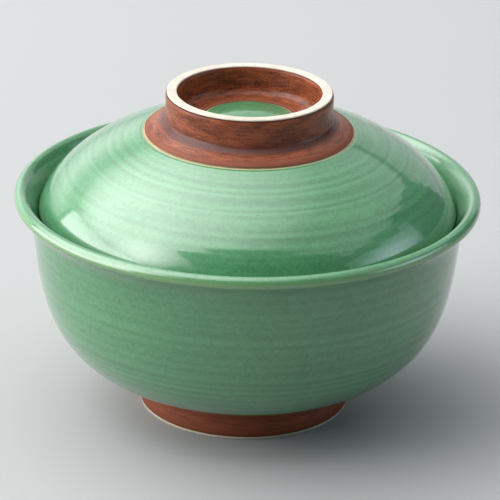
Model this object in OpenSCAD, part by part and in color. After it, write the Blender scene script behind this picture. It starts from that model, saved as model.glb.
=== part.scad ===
// Lidded rice bowl: a bowl with an everted lip and a turned foot ring, and a
// domed lid with a ring grip, which drops into the flare of the mouth.
// Clay parts and their fired glaze coats are separate solids that meet face to face.
// Units are millimetres. +Z is up, and the foot ring stands on z = 0.

/* [Bowl] */
// Outside diameter of the rim
rim_d = 155; // [145:1:165]
// Height from the resting face to the crest of the lip
bowl_h = 76; // [72:0.5:82]
// Thickness of the upper wall, with its glaze
wall_t = 4.2; // [3.8:0.1:4.8]
// Height of the inside floor above the resting face
floor_z = 12; // [11:0.5:14]
// Height of the base underside above the resting face, inside the foot ring
base_z = 6.4; // [5:0.2:7]

/* [Foot ring] */
// Outside diameter of the foot ring
foot_d = 71; // [68:1:74]
// Height of the foot ring on its outer side
foot_h = 9.8; // [9:0.2:10.6]
// Thickness of the foot ring, with its glaze
foot_t = 4.1; // [3.6:0.1:5]

/* [Lid] */
// Depth of the lid's shoulder below the crest of the lip
seat_depth = 6.5; // [6.3:0.1:6.8]
// Height of the dome's middle above the lid's shoulder
dome_h = 33.2; // [29:0.2:35]
// Thickness of the dome, with its glaze on both sides
dome_t = 4.2; // [3.8:0.1:4.8]

/* [Grip ring] */
// Outside diameter of the grip ring
grip_d = 55.4; // [52:0.2:58]
// Height of the grip ring's top above the middle of the dome
grip_h = 7.6; // [6:0.2:10]
// Thickness of the grip ring, with its glaze
grip_t = 4.1; // [3.6:0.1:5]
// Diameter of the brown spread around the grip ring
spread_d = 69.2; // [68:0.2:72]

/* [Glaze] */
// Thickness of a glaze coat
glaze_t = 0.4; // [0.3:0.05:0.5]
// Width of the bare line left between two glazes
bare_line = 0.4; // [0.3:0.1:0.8]
// Diameter of the green disc inside each ring
disc_d = 29.4; // [26:0.2:32]

/* [Hidden] */

$fn = 144;
rim_r = rim_d / 2;
foot_r = foot_d / 2;
grip_r = grip_d / 2;
spread_r = spread_d / 2;
disc_r = disc_d / 2;

clay_color = [0.93, 0.89, 0.80];
green_color = [0.47, 0.66, 0.48];
brown_color = [0.46, 0.25, 0.19];

// ---- paths: lists of [radius, height] points, with the clay on their left ----

// Points of a cubic curve from p[0] to p[3], with handles p[1] and p[2]
function curve(p, steps) = [
    for (i = [0:steps])
        let (t = i / steps, u = 1 - t)
        u * u * u * p[0] + 3 * u * u * t * p[1] + 3 * u * t * t * p[2] + t * t * t * p[3]
];

// Points of an arc about a centre
function arc(centre, radius, from, to, steps) = [
    for (i = [0:steps])
        let (angle = from + (to - from) * i / steps)
        centre + radius * [cos(angle), sin(angle)]
];

// Paths joined end to end, each shared point kept once
function joined(paths) = [
    for (i = [0:len(paths) - 1])
        for (j = [(i == 0 ? 0 : 1):len(paths[i]) - 1])
            paths[i][j]
];

function reversed(path) = [for (i = [len(path) - 1:-1:0]) path[i]];

// The path moved to its left by a distance, where a point on the axis stays on it
function moved_left(path, distance) = [
    for (i = [0:len(path) - 1])
        let (
            step = path[min(i + 1, len(path) - 1)] - path[max(i - 1, 0)],
            point = path[i] + distance * [-step.y, step.x] / norm(step)
        )
        [path[i].x == 0 ? 0 : point.x, point.y]
];

// The part of a path between two radii, with its ends on the path
function between(path, from_r, to_r) = concat(
    [[from_r, lookup(from_r, path)]],
    [for (point = path) if (point.x > from_r + 0.1 && point.x < to_r - 0.1) point],
    [[to_r, lookup(to_r, path)]]
);

// Solid of revolution of a closed outline
module turned(outline) {
    rotate_extrude() polygon(outline);
}

// Coat between a finished surface and the clay under it
module layer(finished, clay) {
    turned(concat(finished, reversed(clay)));
}

// ---- bowl: from the foot ring up the belly, over the lip and down to the floor ----

neck = [rim_r - 6.1, bowl_h - 11.3];
lip_edge = [rim_r - 0.8, bowl_h - 3.7];
lip_crest = [rim_r - 2.4, bowl_h];
seat = [rim_r - 8, bowl_h - 7.5];
well_top = [neck.x - wall_t - 0.6, bowl_h - 18.5];
belly_foot = [foot_r + 0.1, foot_h];

belly_path = curve([
    belly_foot, [neck.x * 0.916, bowl_h * 0.256], [neck.x * 0.966, bowl_h * 0.465], neck
], 16);
under_lip_path = curve([neck, neck + [0.4, 4.3], neck + [2.6, 5.8], lip_edge], 7);
lip_path = curve([
    lip_edge, lip_edge + [1.6, 0.55], lip_crest + [2.2, 0], lip_crest
], 8);
flare_path = curve([lip_crest, lip_crest + [-1.8, 0.05], seat + [1.8, 3], seat], 6);
throat_path = curve([seat, seat - [1.4, 2.4], well_top + [0.35, 4.5], well_top], 5);
well_path = curve([
    well_top, [well_top.x - 2.6, bowl_h * 0.34], [well_top.x * 0.84, floor_z], [0, floor_z]
], 16);
bowl_finished = joined([
    belly_path, under_lip_path, lip_path, flare_path, throat_path, well_path
]);
bowl_clay = moved_left(bowl_finished, glaze_t);

// ---- foot ring: bare on its edge, coated on both sides ----

foot_in_r = foot_r - foot_t;
foot_round = 0.6;
foot_bare = 1.1;
foot_fillet = 2.4;
seam_z = bowl_clay[0].y;
seam_r = foot_in_r - foot_fillet;
base_clay_z = base_z + glaze_t;

foot_outer_finished = [[foot_r, foot_bare], [foot_r, foot_h - bare_line]];
foot_inner_finished = joined([
    curve([
        [seam_r, base_z], [seam_r + foot_fillet * 0.6, base_z],
        [foot_in_r, base_z - foot_fillet * 0.4], [foot_in_r, base_z - foot_fillet]
    ], 6),
    [[foot_in_r, base_z - foot_fillet], [foot_in_r, foot_bare]]
]);
foot_inner_clay = moved_left(foot_inner_finished, glaze_t);

// ---- lid: from the underside out round the edge and back over the dome ----

shoulder = [rim_r - 8.1, bowl_h - seat_depth];
apex_z = shoulder.y + dome_h;
edge_t = 3.6;
edge_low = shoulder - [edge_t / 2, 1.8];
edge_in = shoulder - [edge_t, -0.1];

underside_path = reversed(curve([
    edge_in, [shoulder.x * 0.924 - dome_t * 0.9, shoulder.y + dome_h * 0.58 - dome_t * 0.7],
    [shoulder.x * 0.42, apex_z - dome_t], [0, apex_z - dome_t]
], 20));
edge_path = joined([
    curve([edge_in, edge_in - [0.2, 1], edge_low - [1, 0], edge_low], 5),
    curve([edge_low, edge_low + [1, 0], shoulder + [0.2, -1], shoulder], 5)
]);
dome_finished = curve([
    [0, apex_z], [shoulder.x * 0.33, apex_z],
    [shoulder.x * 0.909, shoulder.y + dome_h * 0.66], shoulder
], 24);
lid_lower_finished = joined([underside_path, edge_path]);
lid_clay = moved_left(joined([lid_lower_finished, reversed(dome_finished)]), glaze_t);
lid_lower_clay = [for (i = [0:len(lid_lower_finished) - 1]) lid_clay[i]];
dome_clay = [for (i = [0:len(dome_finished) - 1]) lid_clay[len(lid_clay) - 1 - i]];

// ---- grip ring: bare on its flat top, coated on both sides ----

grip_top = apex_z + grip_h;
grip_in_r = grip_r - grip_t;
grip_round = 0.4;
grip_bare = 0.4;
grip_fillet = 3.2;
spread_edge = [spread_r, lookup(spread_r, dome_finished) + 0.5];
recess_r = grip_in_r - grip_fillet;
recess_foot = [recess_r, lookup(recess_r, dome_finished)];
wall_foot = [grip_r - 0.2, spread_edge.y + 4.2];

grip_outer_finished = joined([
    curve([
        spread_edge, spread_edge + [-4.6, 1.7], [grip_r - 0.1, wall_foot.y - 1.6], wall_foot
    ], 10),
    curve([
        wall_foot, wall_foot + [0, 3], [grip_r, grip_top - 3], [grip_r, grip_top - grip_bare]
    ], 4)
]);
grip_outer_clay = moved_left(grip_outer_finished, glaze_t);
grip_inner_finished = joined([
    [[grip_in_r, grip_top - grip_bare], [grip_in_r, recess_foot.y + grip_fillet * 0.9]],
    curve([
        [grip_in_r, recess_foot.y + grip_fillet * 0.9], [grip_in_r, recess_foot.y + 1],
        recess_foot + [grip_fillet * 0.5, 0.2], recess_foot
    ], 6)
]);
grip_inner_clay = moved_left(grip_inner_finished, glaze_t);

// ---- clay parts of the bowl ----

module bowl_clay_body() {
    color(clay_color)
    turned(concat(
        bowl_clay, [[0, base_clay_z], [seam_r, base_clay_z], [seam_r, seam_z]]
    ));
}

module bowl_foot_ring() {
    outer_r = foot_r - glaze_t;
    inner_r = foot_in_r + glaze_t;
    color(clay_color)
    turned(concat(
        [[outer_r, seam_z], [seam_r, seam_z], [seam_r, base_clay_z]],
        [for (i = [1:len(foot_inner_clay) - 2]) foot_inner_clay[i]],
        arc([inner_r + foot_round, foot_round], foot_round, 180, 270, 4),
        arc([outer_r - foot_round, foot_round], foot_round, 270, 360, 4)
    ));
}

// ---- glaze coats of the bowl ----

module bowl_green_glaze() {
    color(green_color) layer(bowl_finished, bowl_clay);
}

module foot_outer_glaze() {
    color(brown_color) layer(foot_outer_finished, moved_left(foot_outer_finished, glaze_t));
}

module foot_inner_glaze() {
    base_in_r = disc_r + bare_line;
    color(brown_color)
    layer(
        concat([[base_in_r, base_z]], foot_inner_finished),
        concat([[base_in_r, base_clay_z], [seam_r, base_clay_z]],
            [for (i = [1:len(foot_inner_clay) - 1]) foot_inner_clay[i]])
    );
}

module foot_base_glaze() {
    color(green_color)
    translate([0, 0, base_z])
    cylinder(h = glaze_t, r = disc_r);
}

// ---- clay parts of the lid ----

module lid_clay_body() {
    color(clay_color) turned(lid_clay);
}

module lid_grip_ring() {
    outer_r = grip_r - glaze_t;
    inner_r = grip_in_r + glaze_t;
    seat_points = [
        for (point = dome_clay)
            if (point.x > recess_r + 0.3 && point.x < spread_r - 0.3) point
    ];
    color(clay_color)
    turned(concat(
        seat_points, [[spread_r, lookup(spread_r, dome_clay)]],
        [for (i = [0:len(grip_outer_clay) - 2]) grip_outer_clay[i]],
        arc([outer_r - grip_round, grip_top - grip_round], grip_round, 0, 90, 3),
        arc([inner_r + grip_round, grip_top - grip_round], grip_round, 90, 180, 3),
        [for (i = [1:len(grip_inner_clay) - 1]) grip_inner_clay[i]]
    ));
}

// ---- glaze coats of the lid ----

module lid_green_glaze() {
    inner_r = spread_r + bare_line;
    color(green_color)
    layer(
        joined([
            lid_lower_finished, reversed(between(dome_finished, inner_r, shoulder.x))
        ]),
        joined([
            lid_lower_clay,
            reversed(between(dome_clay, inner_r, dome_clay[len(dome_clay) - 1].x))
        ])
    );
}

module grip_outer_glaze() {
    color(brown_color) layer(grip_outer_finished, grip_outer_clay);
}

module grip_inner_glaze() {
    inner_r = disc_r + bare_line;
    color(brown_color)
    layer(
        joined([grip_inner_finished, reversed(between(dome_finished, inner_r, recess_r))]),
        joined([grip_inner_clay, reversed(between(dome_clay, inner_r, recess_r))])
    );
}

module lid_crown_glaze() {
    color(green_color)
    layer(between(dome_finished, 0, disc_r), between(dome_clay, 0, disc_r));
}

bowl_clay_body();
bowl_foot_ring();
bowl_green_glaze();
foot_outer_glaze();
foot_inner_glaze();
foot_base_glaze();
lid_clay_body();
lid_grip_ring();
lid_green_glaze();
grip_outer_glaze();
grip_inner_glaze();
lid_crown_glaze();
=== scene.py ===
"""Looks of a lidded rice bowl in green and brown glaze, on a pale studio floor.

Every piece is turned: an outline of (radius, height) points is carried round the Z axis.
Each piece stands for one CAD node and follows that node's outline, and adds what the CAD
leaves out: throwing marks, soft glaze edges, and the colours of the glazes and the clay.
Outlines are in millimetres, with the clay on their left; meshes are written in metres.
"""

import math

import bpy
import numpy as np
from mathutils import Matrix, Vector


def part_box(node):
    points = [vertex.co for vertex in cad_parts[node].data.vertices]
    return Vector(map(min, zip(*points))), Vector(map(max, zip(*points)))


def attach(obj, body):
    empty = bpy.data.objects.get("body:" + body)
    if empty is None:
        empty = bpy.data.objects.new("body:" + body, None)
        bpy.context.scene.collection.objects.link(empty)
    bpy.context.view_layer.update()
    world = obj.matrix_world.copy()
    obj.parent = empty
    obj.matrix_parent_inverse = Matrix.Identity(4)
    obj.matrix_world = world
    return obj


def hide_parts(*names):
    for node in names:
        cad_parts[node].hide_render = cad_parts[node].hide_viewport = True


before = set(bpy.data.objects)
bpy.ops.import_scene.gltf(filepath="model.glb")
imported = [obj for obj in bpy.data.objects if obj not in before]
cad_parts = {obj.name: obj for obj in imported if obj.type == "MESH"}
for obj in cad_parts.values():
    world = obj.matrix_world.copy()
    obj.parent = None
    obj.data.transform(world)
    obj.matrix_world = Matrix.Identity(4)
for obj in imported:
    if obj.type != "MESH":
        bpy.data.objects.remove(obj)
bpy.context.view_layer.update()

MM = 0.001

# ---- camera ----

CAMERA_PLACE = (0.0, -1.0793, 0.5087)
CAMERA_PITCH = math.radians(22.865)
CAMERA_YAW = math.radians(0.061)
CAMERA_ROLL = math.radians(1.201)
CAMERA_LENS = 252.0
CAMERA_SENSOR = 36.0


def make_camera():
    data = bpy.data.cameras.new("camera")
    data.lens = CAMERA_LENS
    data.sensor_width = CAMERA_SENSOR
    camera = bpy.data.objects.new("camera", data)
    bpy.context.scene.collection.objects.link(camera)
    camera.matrix_world = (
        Matrix.Translation(CAMERA_PLACE)
        @ Matrix.Rotation(-CAMERA_YAW, 4, "Z")
        @ Matrix.Rotation(math.pi / 2 - CAMERA_PITCH, 4, "X")
        @ Matrix.Rotation(CAMERA_ROLL, 4, "Z")
    )
    bpy.context.scene.camera = camera


make_camera()
bpy.context.scene.view_settings.view_transform = "Standard"


# ---- materials ----
#
# The scales of noises are in cells per metre, and the depths of bumps are in metres.

CLAY_DARK = (0.46, 0.42, 0.35)
CLAY_LIGHT = (0.51, 0.475, 0.41)
CLAY_GRIT = (0.42, 0.34, 0.25)
CLAY_STAINED = (0.42, 0.32, 0.19)
GREEN_DEEP = (0.032, 0.150, 0.056)
GREEN_LIGHT = (0.070, 0.243, 0.101)
GREEN_PIT = (0.012, 0.04, 0.025)
GREEN_THIN = (0.20, 0.31, 0.12)
BROWN_DARK = (0.090, 0.023, 0.012)
BROWN_LIGHT = (0.290, 0.079, 0.032)
# Darker brown for the painted shade in the cove at the grip ring's foot
BROWN_COVE_SHADE = (0.070, 0.020, 0.014)
BROWN_THIN = (0.17, 0.040, 0.016)
BROWN_EDGE = (0.09, 0.028, 0.014)
FLOOR_GREY = (0.340, 0.341, 0.340)
GLASS_IOR = 1.5


class Shader:
    """A material or a light being wired up, with a short call for each kind of node."""

    def __init__(self, owner, surface):
        self.owner = owner
        self.tree = owner.node_tree
        self.surface = self.tree.nodes[surface]

    @classmethod
    def of_material(cls, name):
        material = bpy.data.materials.new(name)
        material.use_nodes = True
        return cls(material, "Principled BSDF")

    @classmethod
    def of_light(cls, light):
        light.use_nodes = True
        return cls(light, "Emission")

    def put(self, socket, value):
        if isinstance(value, bpy.types.NodeSocket):
            self.tree.links.new(value, socket)
        else:
            socket.default_value = value

    def node(self, kind, inputs=(), output=0, **settings):
        node = self.tree.nodes.new("ShaderNode" + kind)
        for key, value in settings.items():
            setattr(node, key, value)
        for key, value in dict(inputs).items():
            self.put(node.inputs[key], value)
        return node.outputs[output]

    def place(self):
        return self.node("TexCoord", output="Object")

    def attribute(self, name):
        return self.node("Attribute", output="Fac", attribute_name=name)

    def math(self, operation, first, second=0.0):
        return self.node("Math", {0: first, 1: second}, operation=operation)

    def weighted(self, *shares):
        """The sum of (value, weight) pairs."""
        total = None
        for value, weight in shares:
            part = self.math("MULTIPLY", value, weight)
            total = part if total is None else self.math("ADD", total, part)
        return total

    def noise(self, vector, scale, detail=2.0, roughness=0.5):
        inputs = {"Vector": vector, "Scale": scale, "Detail": detail, "Roughness": roughness}
        return self.node("TexNoise", inputs)

    def between(self, value, low, high, to_low=0.0, to_high=1.0):
        """value's place between low and high, held at both ends and eased."""
        inputs = {"Value": value, "From Min": low, "From Max": high,
                  "To Min": to_low, "To Max": to_high}
        return self.node("MapRange", inputs, interpolation_type="SMOOTHSTEP")

    def mix(self, factor, first, second):
        inputs = {0: factor, 6: colour(first), 7: colour(second)}
        return self.node("Mix", inputs, output=2, data_type="RGBA")

    def rings(self, width):
        """A place that changes quickly along the outline and slowly round the axis."""
        round_axis = self.node("SeparateXYZ", {0: self.unit_circle()}, output=0)
        across = self.node("SeparateXYZ", {0: self.unit_circle()}, output=1)
        inputs = {
            0: self.attribute("along"),
            1: self.math("MULTIPLY", round_axis, width),
            2: self.math("MULTIPLY", across, width),
        }
        return self.node("CombineXYZ", inputs)

    def unit_circle(self):
        flat = self.node("VectorMath", {0: self.place(), 1: (1, 1, 0)}, operation="MULTIPLY")
        return self.node("VectorMath", {0: flat}, operation="NORMALIZE")

    def pits(self, density, size, rarity):
        """Small spots, one in a few of the cells that the place is shared out into."""
        inputs = {"Vector": self.place(), "Scale": density}
        near = self.between(self.node("TexVoronoi", inputs), size, size * 0.6)
        draw = self.node("SeparateColor", {0: self.node("TexVoronoi", inputs, output=1)})
        return self.math("MULTIPLY", near, self.math("GREATER_THAN", draw, rarity))

    def bump(self, height, depth, normal=None):
        inputs = {"Height": height, "Distance": depth, "Strength": 1.0}
        if normal is not None:
            inputs["Normal"] = normal
        return self.node("Bump", inputs)


def colour(value):
    """The value with an alpha added if it is a colour of three numbers; a socket is passed on."""
    return (*value, 1.0) if isinstance(value, tuple) else value


def stoneware():
    s = Shader.of_material("bare_clay")
    grain = s.noise(s.place(), 2600, 3)
    cloud = s.noise(s.place(), 240, 2)
    body = s.mix(s.between(cloud, 0.35, 0.65), CLAY_DARK, CLAY_LIGHT)
    body = s.mix(s.between(grain, 0.60, 0.72), body, CLAY_GRIT)
    body = s.mix(s.attribute("thin"), body, CLAY_STAINED)
    s.put(s.surface.inputs["Base Color"], body)
    s.put(s.surface.inputs["Roughness"], s.between(grain, 0.3, 0.7, 0.62, 0.8))
    s.put(s.surface.inputs["Normal"], s.bump(grain, 0.03 * MM))
    return s.owner


def green_glaze():
    s = Shader.of_material("green_coat")
    speckle = s.noise(s.place(), 1700, 2, 0.6)
    mottle = s.noise(s.place(), 620, 2, 0.6)
    cloud = s.noise(s.place(), 55, 2)
    tone = s.weighted((s.attribute("ridge"), 0.25), (speckle, 0.35), (mottle, 0.25), (cloud, 0.15))
    body = s.mix(s.between(tone, 0.34, 0.66), GREEN_DEEP, GREEN_LIGHT)
    body = s.mix(s.pits(140, 0.045, 0.93), body, GREEN_PIT)
    body = s.mix(s.attribute("thin"), body, GREEN_THIN)
    s.put(s.surface.inputs["Base Color"], body)
    s.surface.inputs["Roughness"].default_value = 0.36
    s.surface.inputs["IOR"].default_value = GLASS_IOR
    s.surface.inputs["Specular IOR Level"].default_value = 0.35
    s.surface.inputs["Coat Weight"].default_value = 1.0
    s.surface.inputs["Coat Roughness"].default_value = 0.09
    s.surface.inputs["Coat IOR"].default_value = 1.65
    fine = s.bump(mottle, 0.006 * MM)
    s.put(s.surface.inputs["Normal"], fine)
    s.put(s.surface.inputs["Coat Normal"], fine)
    return s.owner


def brown_glaze():
    s = Shader.of_material("brown_coat")
    streaks = s.noise(s.rings(0.004), 1300, 3, 0.6)
    bands = s.noise(s.rings(0.010), 300, 2)
    grain = s.noise(s.place(), 2200, 2)
    tone = s.weighted((streaks, 0.50), (bands, 0.30), (grain, 0.20))
    body = s.mix(s.between(tone, 0.36, 0.64), BROWN_DARK, BROWN_LIGHT)
    thin = s.attribute("thin")
    # Below zero, thin carries painted shade in the cove at the grip ring's foot: the brown is drawn
    # darker there
    body = s.mix(s.between(thin, 0.0, -1.0), body, BROWN_COVE_SHADE)
    body = s.mix(thin, body, BROWN_THIN)
    body = s.mix(s.between(thin, 0.98, 1.0), body, BROWN_EDGE)
    s.put(s.surface.inputs["Base Color"], body)
    satin = s.between(grain, 0.35, 0.65, 0.22, 0.38)
    duller = s.math("MULTIPLY", s.math("MAXIMUM", thin, 0.0), 0.3)
    s.put(s.surface.inputs["Roughness"], s.math("ADD", satin, duller))
    s.surface.inputs["IOR"].default_value = GLASS_IOR
    s.surface.inputs["Specular IOR Level"].default_value = 0.25
    s.put(s.surface.inputs["Normal"], s.bump(grain, 0.012 * MM))
    return s.owner


def floor_finish():
    s = Shader.of_material("studio_floor")
    s.surface.inputs["Base Color"].default_value = colour(FLOOR_GREY)
    s.surface.inputs["Roughness"].default_value = 0.6
    s.surface.inputs["Specular IOR Level"].default_value = 0.2
    return s.owner


# ---- outlines ----


CURVE_STEPS = 96
ARC_STEPS = 12
# The closest that a point may be to the end of a stretch, in millimetres
END_GAP = 0.05


def curve(*handles):
    """Points of a cubic curve from the first handle to the last."""
    t = np.linspace(0, 1, CURVE_STEPS + 1)[:, None]
    u = 1 - t
    a, b, c, d = (np.array(h, float) for h in handles)
    return u**3 * a + 3 * u * u * t * b + 3 * u * t * t * c + t**3 * d


def line(start, end):
    return np.array([start, end], float)


def arc(centre, radius, start, end):
    """Points of an arc about a centre, between two angles in degrees."""
    angle = np.radians(np.linspace(start, end, ARC_STEPS + 1))
    return np.array(centre) + radius * np.c_[np.cos(angle), np.sin(angle)]


def joined(*paths):
    return np.concatenate([paths[0]] + [path[1:] for path in paths[1:]])


def lengths(path):
    """How far along the path each of its points is."""
    return np.r_[0, np.cumsum(np.hypot(*np.diff(path, axis=0).T))]


def evenly(path, step):
    """The path again, with points about a step apart."""
    far = lengths(path)
    at = np.linspace(0, far[-1], max(1, round(far[-1] / step)) + 1)
    return np.c_[np.interp(at, far, path[:, 0]), np.interp(at, far, path[:, 1])]


def outward(path):
    """The direction square to the path, on its right, at each point."""
    step = np.gradient(path, axis=0)
    step /= np.hypot(*step.T)[:, None]
    return np.c_[step[:, 1], -step[:, 0]]


def height_at(path, radius):
    """The path's height at a radius, on a path that crosses each radius once."""
    order = np.argsort(path[:, 0])
    return float(np.interp(radius, path[order, 0], path[order, 1]))


def between_radii(path, start, end):
    """The part of a path, which runs outwards, between two radii."""
    inside = path[(path[:, 0] > start + END_GAP) & (path[:, 0] < end - END_GAP)]
    first = [start, height_at(path, start)]
    last = [end, height_at(path, end)]
    return np.concatenate([[first], inside, [last]])


# ---- sizes: from the frame, and the rest as in the design ----

glaze_low, glaze_high = (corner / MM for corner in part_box("foot_base_glaze"))
glaze_t = glaze_high.z - glaze_low.z
disc_r = glaze_high.x
base_z = glaze_low.z
bowl_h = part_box("bowl_green_glaze")[1].z / MM
foot_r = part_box("foot_outer_glaze")[1].x / MM
apex_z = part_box("lid_crown_glaze")[1].z / MM
grip_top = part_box("lid_grip_ring")[1].z / MM
spread_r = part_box("grip_outer_glaze")[1].x / MM

bare_line = 0.4
rim_r = 77.5
wall_t = 4.2
floor_z = 12.0
foot_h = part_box("foot_outer_glaze")[1].z / MM + bare_line
foot_t = 4.1
foot_bare = 1.1
foot_fillet = 2.4
foot_round = 0.6
seat_depth = 6.5
dome_t = 4.2
edge_t = 3.6
grip_r = 27.7
grip_t = 4.1
grip_bare = 0.4
grip_fillet = 3.2
grip_round = 0.4
grip_inset = 0.3
spread_inset = 0.2

# Bowl, from the foot ring up the belly, over the lip and down to the floor
neck = np.array([rim_r - 6.1, bowl_h - 11.3])
lip_edge = np.array([rim_r - 0.8, bowl_h - 3.7])
lip_crest = np.array([rim_r - 2.4, bowl_h])
seat = np.array([rim_r - 8, bowl_h - 7.5])
well_top = np.array([neck[0] - wall_t - 0.6, bowl_h - 18.5])

belly_path = curve(
    [foot_r + 0.1, foot_h], [neck[0] * 0.916, bowl_h * 0.256], [neck[0] * 0.966, bowl_h * 0.465], neck
)
under_lip_path = curve(neck, neck + [0.4, 4.3], neck + [2.6, 5.8], lip_edge)
lip_path = curve(lip_edge, lip_edge + [1.6, 0.55], lip_crest + [2.2, 0], lip_crest)
flare_path = curve(lip_crest, lip_crest + [-1.8, 0.05], seat + [1.8, 3], seat)
throat_path = curve(seat, seat - [1.4, 2.4], well_top + [0.35, 4.5], well_top)
well_path = curve(
    well_top, [well_top[0] - 2.6, bowl_h * 0.34], [well_top[0] * 0.84, floor_z], [0, floor_z]
)

# Foot ring
foot_in_r = foot_r - foot_t
seam_r = foot_in_r - foot_fillet
foot_inner_path = joined(
    curve(
        [seam_r, base_z], [seam_r + foot_fillet * 0.6, base_z],
        [foot_in_r, base_z - foot_fillet * 0.4], [foot_in_r, base_z - foot_fillet]
    ),
    line([foot_in_r, base_z - foot_fillet], [foot_in_r, foot_bare]),
)

# Lid, from the underside out round the edge and back over the dome
shoulder = np.array([rim_r - 8.1, bowl_h - seat_depth])
dome_h = apex_z - shoulder[1]
edge_low = shoulder - [edge_t / 2, 1.8]
edge_in = shoulder - [edge_t, -0.1]

underside_path = curve(
    edge_in, [shoulder[0] * 0.924 - dome_t * 0.9, shoulder[1] + dome_h * 0.58 - dome_t * 0.7],
    [shoulder[0] * 0.42, apex_z - dome_t], [0, apex_z - dome_t]
)[::-1]
edge_path = joined(
    curve(edge_in, edge_in - [0.2, 1], edge_low - [1, 0], edge_low),
    curve(edge_low, edge_low + [1, 0], shoulder + [0.2, -1], shoulder),
)
dome_path = curve(
    [0, apex_z], [shoulder[0] * 0.33, apex_z],
    [shoulder[0] * 0.909, shoulder[1] + dome_h * 0.66], shoulder
)

# Grip ring
grip_in_r = grip_r - grip_t
recess_r = grip_in_r - grip_fillet
recess_foot = np.array([recess_r, height_at(dome_path, recess_r)])
spread_edge = np.array([spread_r, height_at(dome_path, spread_r) + 0.5])
wall_foot = np.array([grip_r - 0.2, spread_edge[1] + 4.2])

grip_outer_path = joined(
    curve(spread_edge, spread_edge + [-4.6, 1.7], [grip_r - 0.1, wall_foot[1] - 1.6], wall_foot),
    curve(wall_foot, wall_foot + [0, 3], [grip_r, grip_top - 3], [grip_r, grip_top - grip_bare]),
)
grip_inner_path = joined(
    line([grip_in_r, grip_top - grip_bare], [grip_in_r, recess_foot[1] + grip_fillet * 0.9]),
    curve(
        [grip_in_r, recess_foot[1] + grip_fillet * 0.9], [grip_in_r, recess_foot[1] + 1],
        recess_foot + [grip_fillet * 0.5, 0.2], recess_foot
    ),
)

# ---- turned meshes ----

SEGMENTS = 256
ANGLES = np.linspace(0, 2 * math.pi, SEGMENTS, endpoint=False)

# Distances between the points of an outline, in millimetres
CLAY_STEP = 1.2
RING_STEP = 0.5
FLAT_STEP = 0.4

# Throwing marks: the spacing and the depth of each layer, in millimetres
MARK_LAYERS = ((3.5, 0.025), (1.8, 0.007), (11.0, 0.008))


def eased(t):
    t = np.clip(t, 0, 1)
    return t * t * (3 - 2 * t)


def waves(draw, at, sizes):
    """A smooth random line: sines with a random start, one for each wavelength."""
    return sum(np.sin(2 * math.pi * (at / size + draw.uniform(0, 1))) for size in sizes)


def throwing_marks(far, seed):
    """Height of the throwing marks, in millimetres, with a row for each distance along an outline
    and a column for each angle.

    Each layer of marks is a spiral, as a potter's fingers leave, with a spacing that wanders."""
    draw = np.random.default_rng(seed)
    height = np.zeros((len(far), SEGMENTS))
    turn = ANGLES / (2 * math.pi)
    for spacing, depth in MARK_LAYERS:
        at = far / spacing + 0.16 * waves(draw, far / spacing, (2.3, 4.1, 7.7))
        swing = turn + 0.06 * waves(draw, turn, (1, 1 / 2, 1 / 3))
        strength = 0.8 + 0.25 * waves(draw, far / spacing, (3.1, 5.3))
        fade = 1 + 0.25 * waves(draw, turn, (1, 1 / 2))
        height += depth * np.outer(strength, fade) * np.cos(2 * math.pi * (at[:, None] + swing))
    return height


def turned(name, outline, material, thin=0.0, along=None, relief=0.0, ridge=0.5):
    """A closed mesh from an outline that is a closed loop, or that runs from the axis to the axis.

    relief moves its points outwards, in millimetres. thin, along and ridge are kept for the glazes."""
    rings = len(outline)
    on_axis = outline[0, 0] == 0
    index = np.arange(rings * SEGMENTS).reshape(rings, SEGMENTS)
    after = np.roll(index, -1, axis=1)
    used = index.ravel()
    faces = []
    if on_axis:
        used = np.r_[0, index[1:-1].ravel(), index[-1, 0]]
        index = index[:-2] + 1
        after = after[:-2] + 1
        last = np.full(SEGMENTS, len(used) - 1)
        faces += np.c_[np.zeros(SEGMENTS, int), after[0], index[0]].tolist()
        faces += np.c_[last, index[-1], after[-1]].tolist()
    else:
        index = np.concatenate([index, index[:1]])
        after = np.concatenate([after, after[:1]])
    quads = np.stack([index[:-1], after[:-1], after[1:], index[1:]], axis=2)
    faces += quads.reshape(-1, 4).tolist()

    def at_points(values):
        """One value for each point of the mesh, from one for each ring or for each place on it."""
        values = np.asarray(values, float)
        if values.ndim == 1:
            values = values[:, None]
        return np.broadcast_to(values, (rings, SEGMENTS)).ravel()[used]

    square = outward(outline)
    radius = at_points(outline[:, 0]) + at_points(square[:, 0]) * at_points(relief)
    turn = at_points(ANGLES[None, :])
    height = at_points(outline[:, 1]) + at_points(square[:, 1]) * at_points(relief)
    points = np.c_[radius * np.cos(turn), radius * np.sin(turn), height]
    mesh = bpy.data.meshes.new(name)
    mesh.from_pydata((points * MM).tolist(), [], faces)
    along = lengths(outline) if along is None else along
    for key, values in (("along", along * MM), ("thin", thin), ("ridge", ridge)):
        layer = mesh.attributes.new(key, "FLOAT", "POINT")
        layer.data.foreach_set("value", at_points(values).astype(np.float32))
    mesh.shade_smooth()
    mesh.materials.append(material)
    piece = bpy.data.objects.new(name, mesh)
    bpy.context.scene.collection.objects.link(piece)
    return piece


def stand_in(piece, body, node):
    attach(piece, body)
    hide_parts(node)


def moved_in(path):
    """The clay surface under a finished one; a point on the axis stays on it."""
    under = path - glaze_t * outward(path)
    under[path[:, 0] == 0, 0] = 0
    return under


# ---- coats of glaze ----

# How thin the glaze is on the face of the lip, and how much painted shade darkens the cove, on the
# scale of thin
LIP_THIN = 0.45
COVE_SHADE = 0.9

# Distances, in millimetres
EDGE_FALL = 1.2
EDGE_T = 0.06
RIDGE_RANGE = 0.07
CALM_RADIUS = 6
HIDDEN_STEP = 3.0
STAIN_START = 0.2
STAIN_FADE = 0.8
LIP_FACE_DROP = 2.3
LIP_FACE_WIDTH = 2.2
COVE_DROP = 2.2
COVE_CORE = 0.8
COVE_WIDTH = 2.6


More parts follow.
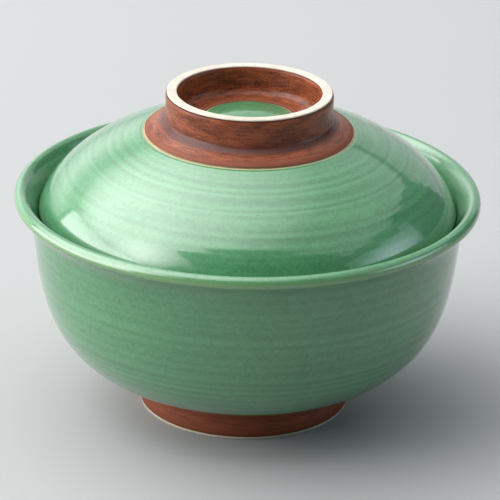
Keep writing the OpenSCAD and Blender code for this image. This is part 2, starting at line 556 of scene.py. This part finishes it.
def coat(name, stretches, material, seed, thin_widths, crest=None, painted_shade=None):
    """A coat of glaze over stretches of (path, ring step, share of the throwing marks).

    Both ends thin to a soft edge, and show it over their thin width; an end on the axis has None."""
    # The finished surface, and how strongly the throwing marks show along it
    paths = [evenly(path, step) for path, step, share in stretches]
    finished = joined(*paths)
    far = lengths(finished)
    bounds = np.cumsum([0] + [lengths(path)[-1] for path in paths])
    middles = (bounds[1:] + bounds[:-1]) / 2
    shares = np.interp(far, middles, [share for path, step, share in stretches])

    # Its edges, where the surface falls to the clay and the glaze is thin
    fall = np.zeros(len(far))
    thin = np.zeros(len(far))
    for width, to_edge in zip(thin_widths, (far, far[-1] - far)):
        if width is not None:
            fall = np.maximum(fall, 1 - eased(to_edge / EDGE_FALL))
            thin = np.maximum(thin, 1 - eased(to_edge / width))
    if crest is not None:
        thin = np.maximum(thin, crest(finished))
    # Painted shade, taken from thin, darkens the coat in its place
    if painted_shade is not None:
        thin -= painted_shade(finished)
    shares = (shares * eased(finished[:, 0] / CALM_RADIUS) * (1 - fall))[:, None]
    marks = throwing_marks(far, seed) * shares
    relief = marks - (glaze_t - EDGE_T) * fall[:, None]
    ridge = 0.5 + marks / RIDGE_RANGE

    # The way back along the clay, with points further apart, since no one sees it
    count = int(far[-1] / HIDDEN_STEP) + 4
    keep = np.unique(np.linspace(0, len(far) - 1, count).astype(int))[::-1]
    outline = np.concatenate([finished, moved_in(finished)[keep]])
    along = np.r_[far, far[keep]]
    thin = np.r_[thin, thin[keep]]
    relief = np.concatenate([relief, np.zeros((len(keep), SEGMENTS))])
    ridge = np.concatenate([ridge, ridge[keep]])
    rows = [outline, thin, along, relief, ridge]
    if finished[-1, 0] == 0:
        # An outline that meets the axis starts and ends on it
        rows = [np.roll(values, len(keep), axis=0) for values in rows]
    outline, *values = rows
    return turned(name, outline, material, *values)


def stained(from_edge):
    """How far the glaze has stained a ring's clay, by the distance from its bare edge."""
    return eased((from_edge - STAIN_START) / STAIN_FADE)


def lip_thin(path):
    """How thin the glaze is drawn over the outer face of the lip."""
    off_face = np.hypot(path[:, 0] - rim_r, path[:, 1] - (lip_crest[1] - LIP_FACE_DROP))
    return LIP_THIN * (1 - eased(off_face / LIP_FACE_WIDTH))


def cove_shade(path):
    """Painted shade in the cove at the foot of the grip ring's wall, on the scale of thin."""
    off_cove = np.hypot(path[:, 0] - wall_foot[0], path[:, 1] - (wall_foot[1] - COVE_DROP))
    return COVE_SHADE * (1 - eased((off_cove - COVE_CORE) / COVE_WIDTH))


# ---- the bowl's pieces ----

GREEN = green_glaze()
BROWN = brown_glaze()
CLAY = stoneware()

bowl_path = joined(*(evenly(path, CLAY_STEP) for path in (
    belly_path, under_lip_path, lip_path, flare_path, throat_path, well_path
)))
bowl_clay_path = moved_in(bowl_path)
seam_z = bowl_clay_path[0, 1]
base_clay_z = base_z + glaze_t
foot_outer_path = line([foot_r, foot_bare], [foot_r, foot_h - bare_line])
base_rim_path = line([disc_r + bare_line, base_z], [seam_r, base_z])
base_disc_path = line([0, base_z], [disc_r, base_z])


def make_bowl():
    wall = turned("bowl_wall_clay", joined(
        line([0, base_clay_z], [seam_r, base_clay_z]), line([seam_r, base_clay_z], [seam_r, seam_z]),
        line([seam_r, seam_z], bowl_clay_path[0]), bowl_clay_path,
    ), CLAY, thin=1.0)
    stand_in(wall, "bowl", "bowl_clay_body")

    outer_r = foot_r - glaze_t
    inner_r = foot_in_r + glaze_t
    outline = joined(
        line([outer_r, seam_z], [seam_r, seam_z]), line([seam_r, seam_z], [seam_r, base_clay_z]),
        moved_in(evenly(foot_inner_path, RING_STEP))[1:],
        arc([inner_r + foot_round, foot_round], foot_round, 180, 270),
        evenly(line([inner_r + foot_round, 0], [outer_r - foot_round, 0]), RING_STEP),
        arc([outer_r - foot_round, foot_round], foot_round, 270, 360),
    )
    ring = turned("foot_ring_clay", outline, CLAY, thin=stained(outline[:, 1]))
    stand_in(ring, "bowl", "bowl_foot_ring")

    green = coat("bowl_green_coat", [
        (belly_path, 0.5, 1.0), (under_lip_path, 0.4, 0.3), (lip_path, 0.35, 0.0),
        (flare_path, 0.5, 0.0), (throat_path, 0.8, 0.0), (well_path, 0.9, 0.8),
    ], GREEN, seed=11, thin_widths=(0.8, None), crest=lip_thin)
    stand_in(green, "bowl", "bowl_green_glaze")

    outer = coat("foot_outer_coat", [
        (foot_outer_path, 0.25, 0.7)
    ], BROWN, seed=12, thin_widths=(6.0, 6.0))
    stand_in(outer, "bowl", "foot_outer_glaze")

    inner = coat("foot_inner_coat", [
        (base_rim_path, 0.35, 0.5), (foot_inner_path, 0.35, 0.5)
    ], BROWN, seed=13, thin_widths=(3.5, 1.2))
    stand_in(inner, "bowl", "foot_inner_glaze")

    disc = coat("foot_base_coat", [
        (base_disc_path, 0.5, 0.5)
    ], GREEN, seed=14, thin_widths=(None, 0.8))
    stand_in(disc, "bowl", "foot_base_glaze")


# ---- the lid's pieces ----

lid_lower_path = joined(evenly(underside_path, CLAY_STEP), evenly(edge_path, RING_STEP))
lid_clay_path = moved_in(joined(lid_lower_path, evenly(dome_path, CLAY_STEP)[::-1]))
dome_clay_path = moved_in(evenly(dome_path, CLAY_STEP / 2)[::-1])[::-1]
skirt_path = between_radii(dome_path, spread_r + bare_line, shoulder[0])[::-1]
recess_path = between_radii(dome_path, disc_r + bare_line, recess_r)[::-1]
crown_path = between_radii(dome_path, 0, disc_r)[::-1]


def make_lid():
    shell = turned("lid_shell_clay", lid_clay_path, CLAY, thin=1.0)
    stand_in(shell, "lid", "lid_clay_body")

    outer_r = grip_r - glaze_t
    inner_r = grip_in_r + glaze_t
    outline = joined(
        between_radii(dome_clay_path, recess_r + grip_inset, spread_r - spread_inset),
        moved_in(evenly(grip_outer_path, RING_STEP))[:-1],
        arc([outer_r - grip_round, grip_top - grip_round], grip_round, 0, 90),
        evenly(line([outer_r - grip_round, grip_top], [inner_r + grip_round, grip_top]), FLAT_STEP),
        arc([inner_r + grip_round, grip_top - grip_round], grip_round, 90, 180),
        moved_in(evenly(grip_inner_path, RING_STEP))[1:],
    )
    ring = turned("grip_ring_clay", outline, CLAY, thin=stained(grip_top - outline[:, 1]))
    stand_in(ring, "lid", "lid_grip_ring")

    green = coat("lid_green_coat", [
        (underside_path, 0.9, 0.8), (edge_path, 0.3, 0.0), (skirt_path, 0.35, 1.0)
    ], GREEN, seed=21, thin_widths=(None, 0.8))
    stand_in(green, "lid", "lid_green_glaze")

    # The cove at the foot of the ring's wall is drawn darker: painted shade
    outer = coat("grip_outer_coat", [
        (grip_outer_path, 0.25, 0.7)
    ], BROWN, seed=22, thin_widths=(3.0, 1.2), painted_shade=cove_shade)
    stand_in(outer, "lid", "grip_outer_glaze")

    inner = coat("grip_inner_coat", [
        (grip_inner_path, 0.25, 0.5), (recess_path, 0.25, 0.5)
    ], BROWN, seed=23, thin_widths=(1.2, 4.2))
    stand_in(inner, "lid", "grip_inner_glaze")

    disc = coat("lid_crown_coat", [
        (crown_path, 0.5, 0.5)
    ], GREEN, seed=24, thin_widths=(0.8, None))
    stand_in(disc, "lid", "lid_crown_glaze")


make_bowl()
make_lid()

# ---- floor and lights ----


FLOOR_REACH = 8.0
NEUTRAL = (1.0, 1.0, 1.0)
COOL = (0.72, 0.92, 1.0)
SKY = (0.62, 0.82, 1.0)
SKY_GLOW = 0.12


def make_floor():
    r = FLOOR_REACH
    corners = [(-r, -r, 0), (r, -r, 0), (r, r, 0), (-r, r, 0)]
    mesh = bpy.data.meshes.new("floor")
    mesh.from_pydata(corners, [], [(0, 1, 2, 3)])
    mesh.materials.append(floor_finish())
    floor = bpy.data.objects.new("floor", mesh)
    bpy.context.scene.collection.objects.link(floor)


def softbox(
    name, place, aim, size, edge_glow, middle_glow, middle=(0.5, 0.5), fade=(0.0, 0.5),
    corner=None, tint=NEUTRAL
):
    """A soft rectangular light, which fades from its middle glow to its edge glow.

    The lamp's power grows with its area, so a glow is as bright on a large light as on a small one.
    middle and corner are places on the light, from 0 to 1 each way. fade has the distances from
    the middle, on that scale, where the fading starts and ends. The light is dark to the right of
    its corner and below it."""
    light = bpy.data.lights.new(name, "AREA")
    light.shape = "RECTANGLE"
    light.size, light.size_y = size
    light.energy = math.pi * size[0] * size[1]
    light.color = tint
    s = Shader.of_light(light)
    across = s.node("NewGeometry", output="Parametric")
    ends = {0: across, 1: (*middle, 0.0)}
    from_middle = s.node("VectorMath", ends, output="Value", operation="DISTANCE")
    glow = s.node("MapRange", {
        "Value": from_middle, "From Min": fade[0], "From Max": fade[1],
        "To Min": middle_glow, "To Max": edge_glow,
    })
    if corner is not None:
        right = s.math("GREATER_THAN", s.node("SeparateXYZ", {0: across}, output=0), corner[0])
        below = s.math("LESS_THAN", s.node("SeparateXYZ", {0: across}, output=1), corner[1])
        glow = s.math("MULTIPLY", glow, s.math("SUBTRACT", 1.0, s.math("MULTIPLY", right, below)))
    s.put(s.surface.inputs["Strength"], glow)
    lamp = bpy.data.objects.new(name, light)
    bpy.context.scene.collection.objects.link(lamp)
    lamp.location = place
    lamp.rotation_euler = (Vector(aim) - Vector(place)).to_track_quat("-Z", "Y").to_euler()


def make_sky():
    world = bpy.data.worlds.new("studio")
    world.use_nodes = True
    background = world.node_tree.nodes["Background"]
    background.inputs["Color"].default_value = colour(SKY)
    background.inputs["Strength"].default_value = SKY_GLOW
    bpy.context.scene.world = world


make_floor()
softbox(
    "overhead", (-0.9, 0.4, 2.0), aim=(-0.9, 0.4, 0.0), size=(6.6, 6.0), edge_glow=0.7,
    middle_glow=5.4, middle=(0.31, 0.48), fade=(0.16, 0.46), corner=(0.43, 0.243)
)
softbox(
    "highlight", (-3.1, -1.6, 2.0), aim=(0.0, 0.0, 0.1), size=(3.0, 3.0), edge_glow=0.0,
    middle_glow=5.0
)
softbox(
    "left", (-4.2, -0.1, 1.0), aim=(0.0, -0.1, 1.0), size=(5.6, 2.0), edge_glow=3.2,
    middle_glow=7.4, fade=(0.0, 0.7)
)
softbox(
    "back", (-0.6, 3.5, 0.95), aim=(0.0, 0.0, 0.4), size=(6.8, 1.9), edge_glow=0.5,
    middle_glow=1.8, middle=(0.72, 0.5)
)
softbox(
    "right", (3.0, -0.2, 1.0), aim=(0.0, 0.0, 0.2), size=(3.0, 1.6), edge_glow=0.7,
    middle_glow=3.5, tint=COOL
)
make_sky()
